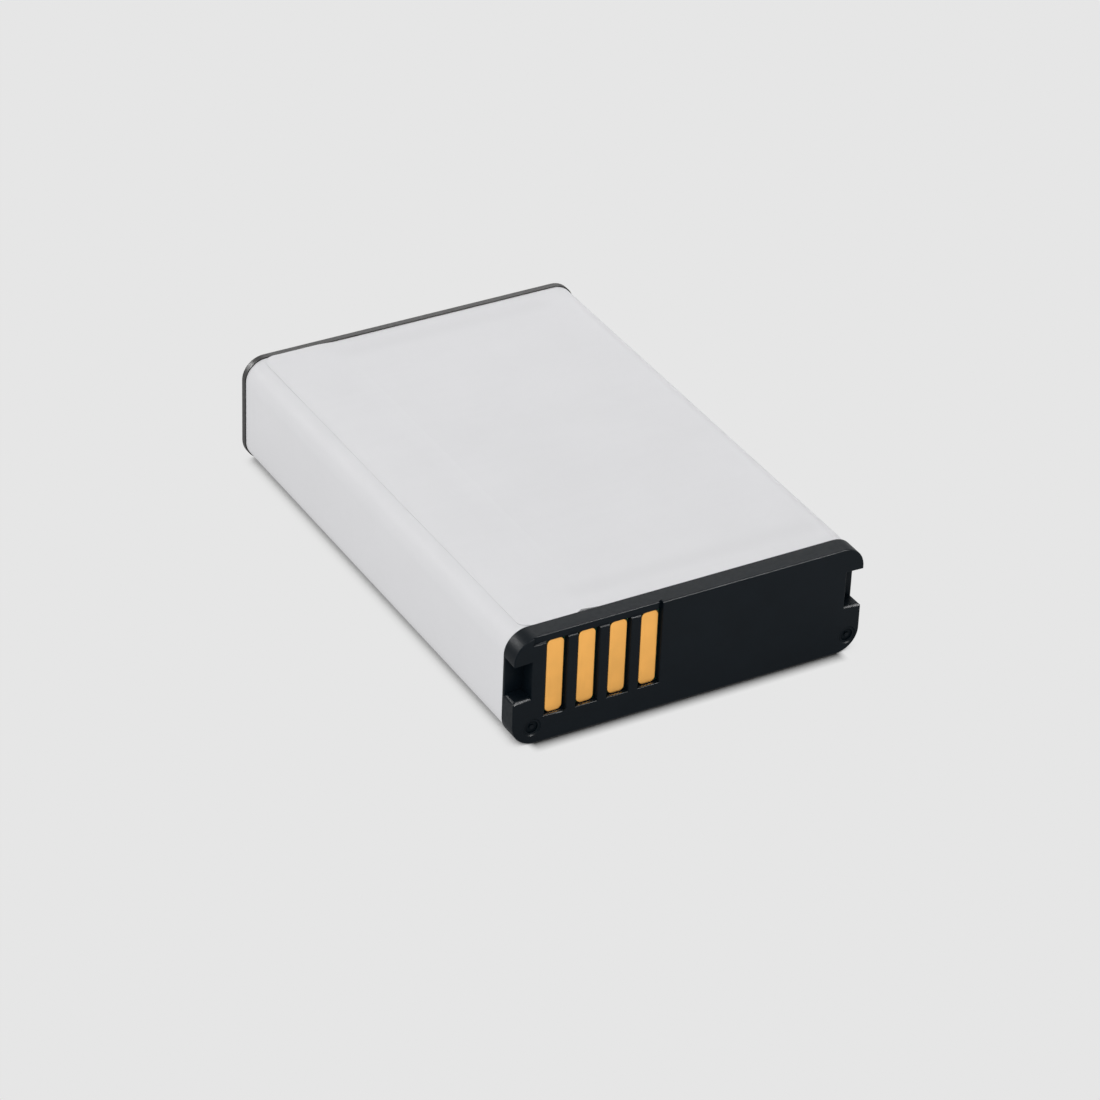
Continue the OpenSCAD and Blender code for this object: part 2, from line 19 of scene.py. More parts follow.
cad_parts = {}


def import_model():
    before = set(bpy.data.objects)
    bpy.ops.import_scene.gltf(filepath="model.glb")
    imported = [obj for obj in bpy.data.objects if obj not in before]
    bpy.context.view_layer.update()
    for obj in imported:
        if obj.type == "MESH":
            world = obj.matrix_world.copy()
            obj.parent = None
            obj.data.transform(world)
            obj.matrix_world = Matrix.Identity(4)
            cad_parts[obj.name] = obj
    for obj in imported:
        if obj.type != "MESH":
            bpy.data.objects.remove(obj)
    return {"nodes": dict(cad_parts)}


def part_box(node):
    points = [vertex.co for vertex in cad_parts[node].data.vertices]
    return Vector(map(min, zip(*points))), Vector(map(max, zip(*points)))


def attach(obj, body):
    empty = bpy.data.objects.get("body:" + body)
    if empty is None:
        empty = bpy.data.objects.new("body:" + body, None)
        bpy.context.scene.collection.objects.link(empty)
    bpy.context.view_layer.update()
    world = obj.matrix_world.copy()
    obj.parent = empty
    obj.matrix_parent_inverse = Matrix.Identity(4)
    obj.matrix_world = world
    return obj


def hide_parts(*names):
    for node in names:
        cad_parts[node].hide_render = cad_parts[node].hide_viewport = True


LOG = logging.getLogger("battery_pack")

MM = 0.001
ROOT = "root"
MERGE_DISTANCE = 0.002 * MM
LEVEL_REACH = 0.02 * MM
FLAT_ANGLE = math.radians(1.0)
SMOOTH_ANGLE = math.radians(38.0)
FACE_AREA_WEIGHT = 80
NOISE_LOW, NOISE_HIGH = 0.3, 0.7
WHITE = (1.0, 1.0, 1.0, 1.0)

Colour = tuple[float, float, float]
Piece = bpy.types.Object
Socket = bpy.types.NodeSocket
Value = float | str | tuple[float, ...] | Socket | bpy.types.Material
Inputs = dict[str | int, Value]


class Direction(Enum):
    """Way in which a drawn, rolled or rubbed surface was worked."""

    ACROSS = (1.0, 0.0, 0.0)
    ALONG = (0.0, 1.0, 0.0)
    UPWARDS = (0.0, 0.0, 1.0)
    NONE = (0.0, 0.0, 0.0)


class Slot(Enum):
    """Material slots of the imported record."""

    CAP = "cap_plastic"
    FRAME = "frame_plastic"
    CAN = "can_aluminium"
    GASKET = "gasket_plastic"
    STEEL = "plated_steel"
    NICKEL = "nickel"
    FIBRE = "fibre_sheet"
    CHIP = "chip_moulding"
    SPACER = "spacer_plastic"
    BOARD = "board_laminate"
    GOLD = "gold_plating"
    CERAMIC = "chip_ceramic"
    FOAM = "foam"
    FILM = "white_film"


class Graph:
    """Adds and joins the nodes of one tree."""

    def __init__(self, tree: bpy.types.NodeTree) -> None:
        """Takes over a shader or geometry tree and empties it."""
        self.tree = tree
        tree.nodes.clear()

    def add(self, kind: str, inputs: Inputs | None = None, **settings: Value) -> bpy.types.Node:
        """Adds one node.

        Args:
            kind: Blender's name of the node type.
            inputs: Plain values or output sockets by input name or place.
            settings: Attributes of the node itself, set before its inputs.

        Returns:
            The new node.
        """
        made = self.tree.nodes.new(kind)
        for name, value in settings.items():
            setattr(made, name, value)
        for key, value in (inputs or {}).items():
            self.feed(made.inputs[key], value)
        return made

    def feed(self, socket: Socket, value: Value) -> None:
        """Joins an output socket to an input, or sets the input's plain value.

        Args:
            socket: Input to feed.
            value: Output socket or plain value.
        """
        if isinstance(value, Socket):
            self.tree.links.new(value, socket)
        else:
            socket.default_value = value

    def math(self, operation: str, *values: Value) -> Socket:
        """Adds a sum on single numbers, by Blender's name of it, and returns its socket."""
        return self.add("ShaderNodeMath", dict(enumerate(values)), operation=operation).outputs[0]

    def plus(self, first: Value, second: Value) -> Socket:
        """Returns the socket of the sum of two numbers."""
        return self.math("ADD", first, second)

    def minus(self, first: Value, second: Value) -> Socket:
        """Returns the socket of the first number less the second."""
        return self.math("SUBTRACT", first, second)

    def times(self, first: Value, second: Value) -> Socket:
        """Returns the socket of the product of two numbers."""
        return self.math("MULTIPLY", first, second)

    def excess(self, value: Value, limit: Value) -> Socket:
        """Returns the socket of how far a number lies above a limit, which is 0 below it."""
        return self.math("MAXIMUM", self.minus(value, limit), 0.0)

    def leg(self, hypotenuse: Value, side: Value) -> Socket:
        """Returns the socket of the third side of a right triangle."""
        squares = (self.times(length, length) for length in (hypotenuse, side))
        return self.math("SQRT", self.math("MAXIMUM", self.minus(*squares), 0.0))

    def vector(self, operation: str, *values: Value) -> Socket:
        """Adds a sum on vectors, by Blender's name of it, and returns its socket."""
        return self.add("ShaderNodeVectorMath", dict(enumerate(values)), operation=operation).outputs[0]

    def scaled(self, vector: Value, factor: Value) -> Socket:
        """Multiplies a vector by a number and returns the result's socket."""
        node = self.add("ShaderNodeVectorMath", {"Vector": vector, "Scale": factor}, operation="SCALE")
        return node.outputs[0]

    def ramp(
        self,
        value: Value,
        low: Value,
        high: Value,
        to_low: Value = 0.0,
        to_high: Value = 1.0,
        smooth: bool = False,
    ) -> Socket:
        """Maps a number from one range to another, held at the ends.

        Args:
            value: Number to map.
            low: Value that becomes to_low.
            high: Value that becomes to_high.
            to_low: Result at and below low.
            to_high: Result at and above high.
            smooth: Whether the change starts and ends gently.

        Returns:
            The result's socket.
        """
        keys = {"Value": value, "From Min": low, "From Max": high, "To Min": to_low, "To Max": to_high}
        kind = "SMOOTHSTEP" if smooth else "LINEAR"
        return self.add("ShaderNodeMapRange", keys, interpolation_type=kind).outputs["Result"]

    def split(self, vector: Socket) -> tuple[Socket, ...]:
        """Returns the sockets of a vector's X, Y and Z."""
        return tuple(self.add("ShaderNodeSeparateXYZ", {0: vector}).outputs)

    def join(self, x: Value, y: Value, z: Value) -> Socket:
        """Returns the socket of a vector made of three numbers."""
        return self.add("ShaderNodeCombineXYZ", {"X": x, "Y": y, "Z": z}).outputs[0]


@dataclass(frozen=True)
class Bridge:
    """Stretch on the film's top and bottom where it spans a gap in what it is wound on."""

    centre_y: float
    half: float
    left: float
    right: float
    fade: float = 2.5 * MM

    def share(self, graph: Graph, x: Value, y: Value) -> Socket:
        """Adds how much a place belongs to the stretch.

        Args:
            graph: Shader or geometry graph to add to.
            x: Place across the pack.
            y: Place along the pack.

        Returns:
            Socket of a share from 0 to 1.
        """
        away = graph.math("ABSOLUTE", graph.minus(y, self.centre_y))
        along = graph.ramp(away, 0.0, self.half, 1.0, 0.0, smooth=True)
        start = graph.ramp(x, self.left - self.fade, self.left, smooth=True)
        end = graph.ramp(x, self.right, self.right + self.fade, 1.0, 0.0, smooth=True)
        return graph.times(along, graph.times(start, end))


# Where the film dips over gaps below; the film's colour is also darkened there as painted shade.
BRIDGES = (
    Bridge(-23.0 * MM, 1.9 * MM, -9.0 * MM, 15.5 * MM),
    Bridge(25.5 * MM, 2.2 * MM, -8.5 * MM, 13.0 * MM),
)


class ShaderGraph(Graph):
    """Builds one surface material."""

    def __init__(self, material: bpy.types.Material) -> None:
        """Starts the material with its shader and its coordinates.

        Args:
            material: Material to fill.
        """
        material.use_nodes = True
        super().__init__(material.node_tree)
        self.shader = self.add("ShaderNodeBsdfPrincipled")
        self.add("ShaderNodeOutputMaterial", {"Surface": self.shader.outputs[0]})
        self.place = self.add("ShaderNodeTexCoord").outputs["Object"]

    def set(self, **values: Value) -> None:
        """Sets inputs of the shader, named with underscores for spaces."""
        for name, value in values.items():
            self.feed(self.shader.inputs[name.replace("_", " ")], value)

    def noise(
        self, size: float, detail: float = 2.0, stretch: Direction = Direction.NONE, pull: float = 1.0
    ) -> Socket:
        """Adds cloudy variation.

        Args:
            size: Size of its patches in metres.
            detail: Number of finer layers.
            stretch: Way in which the patches are drawn out.
            pull: How many times longer than wide they are.

        Returns:
            Socket of a number from about 0.25 to 0.75.
        """
        scale = [1.0 / size / (pull if along else 1.0) for along in stretch.value]
        place = self.add("ShaderNodeMapping", {"Vector": self.place, "Scale": scale}).outputs[0]
        keys = {"Vector": place, "Scale": 1.0, "Detail": detail, "Roughness": 0.55}
        return self.add("ShaderNodeTexNoise", keys, noise_dimensions="3D").outputs["Fac"]

    def crossed(self, size: float, detail: float, pull: float) -> Socket:
        """Returns the socket of drawn-out patches that lie both across and upright."""
        ways = (Direction.ACROSS, Direction.UPWARDS)
        return self.math("MAXIMUM", *(self.noise(size, detail, way, pull) for way in ways))

    def cells(self, size: float) -> Socket:
        """Returns the socket of the distance from the middles of cells of a size in metres."""
        keys = {"Vector": self.place, "Scale": 1.0 / size, "Randomness": 1.0}
        return self.add("ShaderNodeTexVoronoi", keys).outputs["Distance"]

    def stirred(self, clouds: Value, fine: Value, share: float) -> Socket:
        """Returns the socket of clouds with a share of finer variation in them."""
        return self.plus(clouds, self.math("MULTIPLY_ADD", fine, share, -share / 2))

    def swing(self, factor: Value, middle: float, reach: float) -> Socket:
        """Returns the socket of a number that follows clouds, a reach each way from its middle."""
        return self.ramp(factor, NOISE_LOW, NOISE_HIGH, middle - reach, middle + reach)

    def blend(self, factor: Value, first: Value, second: Value) -> Socket:
        """Mixes two colours.

        Args:
            factor: Share of the second colour.
            first: Colour at 0.
            second: Colour at 1.

        Returns:
            The mixed colour's socket.
        """
        mixer = self.add("ShaderNodeMix", data_type="RGBA")
        self.feed(mixer.inputs["Factor"], factor)
        for socket, value in zip([s for s in mixer.inputs if s.type == "RGBA"], (first, second)):
            self.feed(socket, (*value, 1.0) if isinstance(value, tuple) else value)
        return next(s for s in mixer.outputs if s.type == "RGBA")

    def varied(self, colour: Colour, spread: float, factor: Value) -> Socket:
        """Returns the socket of a colour that follows clouds, a share darker and lighter than it is."""
        dark, light = (tuple(c * (1.0 + s * spread) for c in colour) for s in (-1, 1))
        return self.blend(self.ramp(factor, NOISE_LOW, NOISE_HIGH), dark, light)

    def relief(self, *layers: tuple[Value, float]) -> None:
        """Gives the surface relief, one layer over another.

        Args:
            layers: Pairs of a height socket and the depth in metres of its range from 0 to 1.
        """
        normal = None
        for height, depth in layers:
            keys = {"Height": height, "Distance": depth, "Strength": 1.0}
            if normal is not None:
                keys["Normal"] = normal
            normal = self.add("ShaderNodeBump", keys).outputs[0]
        self.set(Normal=normal)


@dataclass(frozen=True)
class Finish:
    """Surface finish that is made into one material the first time it is asked for."""

    name: str
    slot: Slot

    def material(self) -> bpy.types.Material:
        """Returns the finish's material, and makes it if it isn't there yet."""
        found = bpy.data.materials.get(self.name)
        if found is None:
            found = bpy.data.materials.new(self.name)
            self.build(ShaderGraph(found))
        return found

    def build(self, graph: ShaderGraph) -> None:
        """Fills the material's nodes.

        Args:
            graph: Graph of the new material.
        """
        raise NotImplementedError


@dataclass(frozen=True)
class MouldedPlastic(Finish):
    """Injection-moulded plastic with the fine grain of a spark-eroded mould."""

    colour: Colour
    roughness: float = 0.5
    specular: float = 0.5
    spread: float = 0.1
    grain_size: float = 0.11 * MM
    grain_depth: float = 0.004 * MM
    grain_share: float = 0.4
    cloud_size: float = 3.0 * MM
    cloud_depth: float = 0.01 * MM
    speck_size: float = 0.35 * MM
    # reach of the ambient occlusion that paints shade into recesses, 0 for none
    recess_shade_reach: float = 0.0
    recess_shade_gloss: float = 0.03

    def build(self, graph: ShaderGraph) -> None:
        """Fills the material's nodes, with painted shade as less gloss deep in a recess, if a reach is set.

        Args:
            graph: Graph of the new material.
        """
        clouds, grain = graph.noise(self.cloud_size, 3.0), graph.noise(self.grain_size)
        gloss: Value = self.specular
        # painted shade: ambient occlusion lowers the gloss in recesses so that they look darker
        if self.recess_shade_reach > 0:
            keys = {"Distance": self.recess_shade_reach}
            clear = graph.add("ShaderNodeAmbientOcclusion", keys, samples=4, only_local=True).outputs["AO"]
            gloss = graph.ramp(clear, 0.55, 0.97, self.recess_shade_gloss * self.specular, self.specular)
        graph.set(
            Base_Color=graph.varied(self.colour, self.spread, graph.stirred(clouds, grain, self.grain_share)),
            Roughness=graph.swing(graph.noise(self.speck_size), self.roughness, 0.06),
            Specular_IOR_Level=gloss,
        )
        graph.relief((clouds, self.cloud_depth), (grain, self.grain_depth))


@dataclass(frozen=True)
class SatinFilm(Finish):
    """White plastic film with a satin face and a faint orange peel."""

    colour: Colour
    roughness: float = 0.55
    specular: float = 0.06
    spread: float = 0.012
    # share by which the colour is darkened over the film's dips, as painted shade
    shade: float = 0.035
    cloud_size: float = 9.0 * MM
    peel_size: float = 0.45 * MM
    peel_depth: float = 0.0016 * MM
    streak_size: float = 0.8 * MM
    streak_pull: float = 14.0
    streak_depth: float = 0.0012 * MM
    streak_share: float = 0.3

    def build(self, graph: ShaderGraph) -> None:
        """Fills the material's nodes, a little darker where the film dips over a gap, as painted shade.

        Args:
            graph: Graph of the new material.
        """
        clouds, peel = graph.noise(self.cloud_size, 3.0), graph.noise(self.peel_size, 3.0)
        streaks = graph.noise(self.streak_size, 3.0, Direction.ACROSS, self.streak_pull)
        x, y, _ = graph.split(graph.place)
        # painted shade: the colour is darkened over the dips, standing in for the shading of those dips
        painted_dip_shade = graph.plus(*(bridge.share(graph, x, y) for bridge in BRIDGES))
        dark = tuple(c * (1.0 - self.shade) for c in self.colour)
        plain = graph.varied(self.colour, self.spread, graph.stirred(clouds, streaks, self.streak_share))
        graph.set(
            Base_Color=graph.blend(painted_dip_shade, plain, dark),
            Roughness=graph.swing(peel, self.roughness, 0.05),
            Specular_IOR_Level=self.specular,
        )
        graph.relief((streaks, self.streak_depth), (peel, self.peel_depth))


@dataclass(frozen=True)
class WorkedMetal(Finish):
    """Drawn, rolled or plated metal with fine lines along the way it was worked."""

    colour: Colour
    roughness: float = 0.3
    worked: Direction = Direction.ALONG
    line_size: float = 0.06 * MM
    line_depth: float = 0.0015 * MM
    line_pull: float = 40.0
    cloud_size: float = 2.5 * MM
    cloud_depth: float = 0.004 * MM
    spread: float = 0.05

    def build(self, graph: ShaderGraph) -> None:
        """Fills the material's nodes.

        Args:
            graph: Graph of the new material.
        """
        lines = graph.noise(self.line_size, 3.0, self.worked, self.line_pull)
        clouds = graph.noise(self.cloud_size, 3.0)
        both = graph.plus(lines, clouds)
        graph.set(
            Base_Color=graph.varied(self.colour, self.spread, clouds),
            Metallic=1.0,
            Roughness=graph.ramp(both, 0.7, 1.3, self.roughness - 0.07, self.roughness + 0.07),
        )
        graph.relief((clouds, self.cloud_depth), (lines, self.line_depth))


@dataclass(frozen=True)
class FibreSheet(Finish):
    """Pressed fibre sheet with short matted fibres."""

    colour: Colour
    fibre_size: float = 0.05 * MM
    fibre_pull: float = 12.0
    fibre_depth: float = 0.008 * MM
    wave_size: float = 1.5 * MM
    wave_depth: float = 0.01 * MM

    def build(self, graph: ShaderGraph) -> None:
        """Fills the material's nodes.

        Args:
            graph: Graph of the new material.
        """
        fibres = graph.crossed(self.fibre_size, 3.0, self.fibre_pull)
        graph.set(
            Base_Color=graph.varied(self.colour, 0.3, fibres),
            Roughness=graph.ramp(fibres, NOISE_LOW, NOISE_HIGH, 0.9, 0.75),
            Specular_IOR_Level=0.3,
        )
        graph.relief((graph.noise(self.wave_size), self.wave_depth), (fibres, self.fibre_depth))


@dataclass(frozen=True)
class BoardLaminate(Finish):
    """Green solder resist over copper tracks, with the bare laminate at the board's edges."""

    colour: Colour
    track_colour: Colour = (0.035, 0.14, 0.07)
    edge_colour: Colour = (0.42, 0.36, 0.2)
    track_pitch: float = 0.9 * MM
    track_depth: float = 0.02 * MM
    weave_size: float = 0.2 * MM
    weave_pull: float = 5.0
    weave_depth: float = 0.003 * MM

    def build(self, graph: ShaderGraph) -> None:
        """Fills the material's nodes.

        Args:
            graph: Graph of the new material.
        """
        upright = (math.radians(90.0), 0.0, 0.0)
        keys = {
            "Vector": graph.add("ShaderNodeMapping", {"Vector": graph.place, "Rotation": upright}).outputs[0],
            "Scale": 1.0,
            "Mortar Size": 0.1 * self.track_pitch,
            "Mortar Smooth": 0.3,
            "Brick Width": 5.0 * self.track_pitch,
            "Row Height": self.track_pitch,
        }
        tracks = graph.add("ShaderNodeTexBrick", keys, offset=0.37).outputs["Fac"]
        weave = graph.crossed(self.weave_size, 1.0, self.weave_pull)
        facing = graph.math("ABSOLUTE", graph.split(graph.add("ShaderNodeNewGeometry").outputs["Normal"])[1])
        resist = graph.blend(tracks, graph.varied(self.colour, 0.12, weave), self.track_colour)
        graph.set(
            Base_Color=graph.blend(graph.ramp(facing, 0.4, 0.6), self.edge_colour, resist),
            Roughness=graph.ramp(facing, 0.4, 0.6, 0.75, 0.28),
            Specular_IOR_Level=0.5,
        )
        graph.relief((weave, self.weave_depth), (tracks, self.track_depth))


@dataclass(frozen=True)
class ChipCeramic(Finish):
    """Fired ceramic body of a chip part, with tinned caps at its two ends."""

    colour: Colour
    centre_z: float
    body_half: float
    tin_colour: Colour = (0.62, 0.61, 0.59)
    tin_edge: float = 0.02 * MM
    grain_size: float = 0.06 * MM
    grain_depth: float = 0.002 * MM
    drop_size: float = 0.3 * MM
    drop_depth: float = 0.03 * MM

    def build(self, graph: ShaderGraph) -> None:
        """Fills the material's nodes.

        Args:
            graph: Graph of the new material.
        """
        away = graph.math("ABSOLUTE", graph.minus(graph.split(graph.place)[2], self.centre_z))
        tinned = graph.ramp(away, self.body_half, self.body_half + self.tin_edge)
        grains, drops = graph.noise(self.grain_size), graph.noise(self.drop_size)
        body, tin = graph.varied(self.colour, 0.15, grains), graph.varied(self.tin_colour, 0.05, drops)
        graph.set(
            Base_Color=graph.blend(tinned, body, tin),
            Metallic=tinned,
            Roughness=graph.ramp(graph.plus(tinned, drops), 0.3, 1.6, 0.6, 0.35),
        )
        graph.relief((graph.times(drops, tinned), self.drop_depth), (grains, self.grain_depth))


@dataclass(frozen=True)
class ClosedCellFoam(Finish):
    """Dark foam with small closed cells."""

    colour: Colour
    cell_size: float = 0.35 * MM
    small_share: float = 0.4
    pit_depth: float = 0.09 * MM

    def build(self, graph: ShaderGraph) -> None:
        """Fills the material's nodes.

        Args:
            graph: Graph of the new material.
        """
        large, small = graph.cells(self.cell_size), graph.cells(self.small_share * self.cell_size)
        pits = graph.math("MULTIPLY_ADD", small, self.small_share, large)
        graph.set(
            Base_Color=graph.varied(self.colour, 0.35, pits),
            Roughness=graph.ramp(pits, 0.2, 0.8, 0.95, 0.8),
            Specular_IOR_Level=0.25,
        )
        graph.relief((pits, self.pit_depth))


CAP_PLASTIC = MouldedPlastic(
    "cap_plastic_grained", Slot.CAP, (0.0035, 0.0062, 0.009), roughness=0.42, specular=0.075, recess_shade_reach=2.0 * MM
)
FRAME_PLASTIC = MouldedPlastic(
    "frame_plastic_grained", Slot.FRAME, (0.02, 0.019, 0.0185), roughness=0.45, specular=0.3
)
SPACER_PLASTIC = MouldedPlastic("spacer_plastic_natural", Slot.SPACER, (0.75, 0.75, 0.72), spread=0.03)
GASKET_PLASTIC = MouldedPlastic(
    "gasket_plastic_natural", Slot.GASKET, (0.8, 0.8, 0.77), roughness=0.45, spread=0.03
)
CHIP_MOULDING = MouldedPlastic(
    "chip_moulding_resin", Slot.CHIP, (0.015, 0.015, 0.016), roughness=0.6, grain_depth=0.006 * MM
)
CAN_ALUMINIUM = WorkedMetal("can_aluminium_drawn", Slot.CAN, (0.6, 0.61, 0.62), roughness=0.34)
LID_ALUMINIUM = WorkedMetal("lid_aluminium_rolled", Slot.CAN, (0.62, 0.63, 0.64), worked=Direction.ACROSS)
PLATED_STEEL = WorkedMetal(
    "plated_steel_headed", Slot.STEEL, (0.55, 0.54, 0.52), roughness=0.25, worked=Direction.NONE
)
NICKEL_STRIP = WorkedMetal("nickel_strip_rolled", Slot.NICKEL, (0.6, 0.59, 0.56), worked=Direction.ACROSS)
SOLDER = WorkedMetal(
    "solder_bright", Slot.NICKEL, (0.66, 0.66, 0.65), roughness=0.22, worked=Direction.NONE, spread=0.03
)
GOLD_PLATE = WorkedMetal(
    "gold_plate_satin",
    Slot.GOLD,
    (0.98, 0.5, 0.128),
    roughness=0.36,
    worked=Direction.UPWARDS,
    line_depth=0.0008 * MM,
    spread=0.025,
)
WHITE_FILM = SatinFilm("white_film_satin", Slot.FILM, (0.69, 0.69, 0.705))
FIBRE_SHEET = FibreSheet("fibre_sheet_pressed", Slot.FIBRE, (0.05, 0.16, 0.09))
BOARD_LAMINATE = BoardLaminate("board_laminate_resist", Slot.BOARD, (0.02, 0.08, 0.05))
END_FOAM = ClosedCellFoam("foam_closed_cell", Slot.FOAM, (0.04, 0.04, 0.042))


@dataclass(frozen=True)
class Edging:
    """How the outward edges of a moulding are broken."""

    width: float
    segments: int = 2
    last_y: float = math.inf
    level_z: float = math.inf

    def takes(self, edge: bmesh.types.BMEdge) -> bool:
        """Tests whether an edge is one to break.

        Args:
            edge: Edge of the piece.

        Returns:
            True for a long outward edge ahead of the last place, at the level where one is set.
        """
        ends = [corner.co for corner in edge.verts]
        sharp = len(edge.link_faces) == 2 and edge.calc_face_angle_signed(0.0) > SMOOTH_ANGLE
        ahead = all(end.y < self.last_y for end in ends)
        level = math.isinf(self.level_z) or all(abs(end.z - self.level_z) < LEVEL_REACH for end in ends)
        return sharp and ahead and level and edge.calc_length() > 2.0 * self.width


class Bench:
    """Makes meshes into finished pieces of the pack."""

    @staticmethod
    def shown(name: str, mesh: bpy.types.Mesh) -> Piece:
        """Puts a mesh into the scene.

        Args:
            name: Name of the new object.
            mesh: Its mesh, in the pack's frame.

        Returns:
            The new object at the origin.
        """
        made = bpy.data.objects.new(name, mesh)
        bpy.context.scene.collection.objects.link(made)
        return made

    @staticmethod
    def copied(node: str, name: str) -> Piece:
        """Copies a node's mesh, joins its loose triangles and clears its flat faces.

        Args:
            node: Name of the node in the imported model.
            name: Name of the new object.

        Returns:
            The copy, closed and with faces outwards.
        """
        source = bpy.data.objects[node].data
        work = bmesh.new()
        work.from_mesh(source)
        bmesh.ops.remove_doubles(work, verts=work.verts, dist=MERGE_DISTANCE)
        bmesh.ops.dissolve_degenerate(work, edges=work.edges, dist=MERGE_DISTANCE)
        bmesh.ops.dissolve_limit(work, angle_limit=FLAT_ANGLE, verts=work.verts, edges=work.edges)
        mesh = bpy.data.meshes.new(name)
        work.to_mesh(mesh)
        work.free()
        return Bench.shown(name, mesh)

    @staticmethod
    def bevelled(piece: Piece, edging: Edging) -> None:
        """Breaks a piece's outward edges and bakes the result into its mesh.

        Args:
            piece: Piece to work on.
            edging: How its edges are broken.
        """
        work = bmesh.new()
        work.from_mesh(piece.data)
        weights = work.edges.layers.float
        weight = weights.get("bevel_weight_edge") or weights.new("bevel_weight_edge")
        for edge in work.edges:
            edge[weight] = float(edging.takes(edge))
        work.to_mesh(piece.data)
        work.free()
        bevel = piece.modifiers.new("Broken edges", "BEVEL")
        bevel.width = edging.width
        bevel.segments = edging.segments
        bevel.limit_method = "WEIGHT"
        bevel.use_clamp_overlap = False
        bevel.miter_outer = "MITER_ARC"
        Bench.settle(piece)

    @staticmethod
    def settle(piece: Piece) -> None:
        """Turns a piece and its live modifiers into a plain mesh.

        Args:
            piece: Piece to settle.
        """
        bpy.context.view_layer.update()
        graph = bpy.context.evaluated_depsgraph_get()
        shape = piece.evaluated_get(graph)
        mesh = bpy.data.meshes.new_from_object(shape, preserve_all_data_layers=True, depsgraph=graph)
        mesh.name = piece.name
        piece.modifiers.clear()
        piece.data = mesh

    @staticmethod
    def smoothed(piece: Piece) -> None:
        """Shades a piece smooth, with its edges kept sharp where the surface turns.

        Args:
            piece: Piece to shade.
        """
        mesh = piece.data
        mesh.polygons.foreach_set("use_smooth", [True] * len(mesh.polygons))
        work = bmesh.new()
        work.from_mesh(mesh)
        for edge in work.edges:
            edge.smooth = len(edge.link_faces) == 2 and edge.calc_face_angle(0.0) < SMOOTH_ANGLE
        work.to_mesh(mesh)
        work.free()
        shade = piece.modifiers.new("Even shading", "WEIGHTED_NORMAL")
        shade.keep_sharp = True
        shade.weight = FACE_AREA_WEIGHT
        Bench.settle(piece)

    @staticmethod
    def finished(piece: Piece, finish: Finish, *nodes: str) -> None:
        """Gives a piece its finish and lets it ride on the pack.

        Args:
            piece: Piece with its final mesh.
            finish: Finish of its whole surface.
            nodes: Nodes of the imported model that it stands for.
        """
        piece.data.materials.clear()
        piece.data.materials.append(finish.material())
        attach(piece, ROOT)
        if nodes:
            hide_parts(*nodes)
        triangles = sum(len(p.vertices) - 2 for p in piece.data.polygons)
        LOG.info("%s: %d triangles, %s", piece.name, triangles, finish.name)

    @staticmethod
    def dressed(node: str, finish: Finish, *edgings: Edging | float) -> None:
        """Makes a node's finished piece, with broken edges and smooth shading.

        Args:
            node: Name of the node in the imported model.
            finish: Finish of its surface.
            edgings: How its edges are broken, each in turn, where a number is a width in metres.
        """
        piece = Bench.copied(node, f"{node}_piece")
        for edging in edgings:
            Bench.bevelled(piece, edging if isinstance(edging, Edging) else Edging(edging))
        Bench.smoothed(piece)
        Bench.finished(piece, finish, node)


class Tree(Graph):
    """Geometry Nodes tree with named sizes, run once on an empty mesh."""

    def __init__(self, name: str) -> None:
        """Makes an empty tree that gives out one geometry.

        Args:
            name: Name of the tree.
        """
        tree = bpy.data.node_groups.new(name, "GeometryNodeTree")
        super().__init__(tree)
        tree.interface.new_socket("Geometry", in_out="OUTPUT", socket_type="NodeSocketGeometry")
        self.values: dict[str, float] = {}
        self.entry = self.add("NodeGroupInput")
        self.exit = self.add("NodeGroupOutput")

    def size(self, name: str, value: float) -> Socket:
        """Adds a named size to the tree.

        Args:
            name: Name of the input.
            value: Its value in metres, or a plain count as an int.

        Returns:
            Socket that gives the value inside the tree.
        """
        kind = "NodeSocketInt" if isinstance(value, int) else "NodeSocketFloat"
        made = self.tree.interface.new_socket(name, in_out="INPUT", socket_type=kind)
        self.values[made.identifier] = value
        return self.entry.outputs[name]

    def grid(self, columns: Value, rows: Value) -> tuple[Socket, Socket, Socket]:
        """Adds a flat grid that is laid out later.

        Args:
            columns: Number of points across it.
            rows: Number of points along it.

        Returns:
            Sockets of the grid and of a point's share across and along it, from 0 to 1.
        """
        keys = {"Size X": 1.0, "Size Y": 1.0, "Vertices X": columns, "Vertices Y": rows}
        mesh = self.add("GeometryNodeMeshGrid", keys).outputs[0]
        across, along, _ = self.split(self.add("GeometryNodeInputPosition").outputs[0])
        return mesh, self.plus(across, 0.5), self.plus(along, 0.5)

    def placed(self, mesh: Value, place: Value) -> Socket:
        """Returns the socket of a mesh whose points are moved to new places."""
        return self.add("GeometryNodeSetPosition", {"Geometry": mesh, "Position": place}).outputs[0]

    def made(self, name: str, geometry: Socket, finish: Finish) -> Piece:
        """Ends the tree, runs it and keeps the result as a plain mesh.

        Args:
            name: Name of the new object.
            geometry: Socket of the finished geometry.
            finish: Finish that the tree sets.

        Returns:
            The object with the plain mesh.
        """
        whole = self.add("GeometryNodeRealizeInstances", {0: geometry}).outputs[0]
        keys = {"Geometry": whole, "Material": finish.material()}
        self.feed(self.exit.inputs[0], self.add("GeometryNodeSetMaterial", keys).outputs[0])
        piece = Bench.shown(name, bpy.data.meshes.new(name))
        modifier = piece.modifiers.new(self.tree.name, "NODES")
        modifier.node_group = self.tree
        for identifier, value in self.values.items():
            modifier[identifier] = value
        Bench.settle(piece)
        return piece


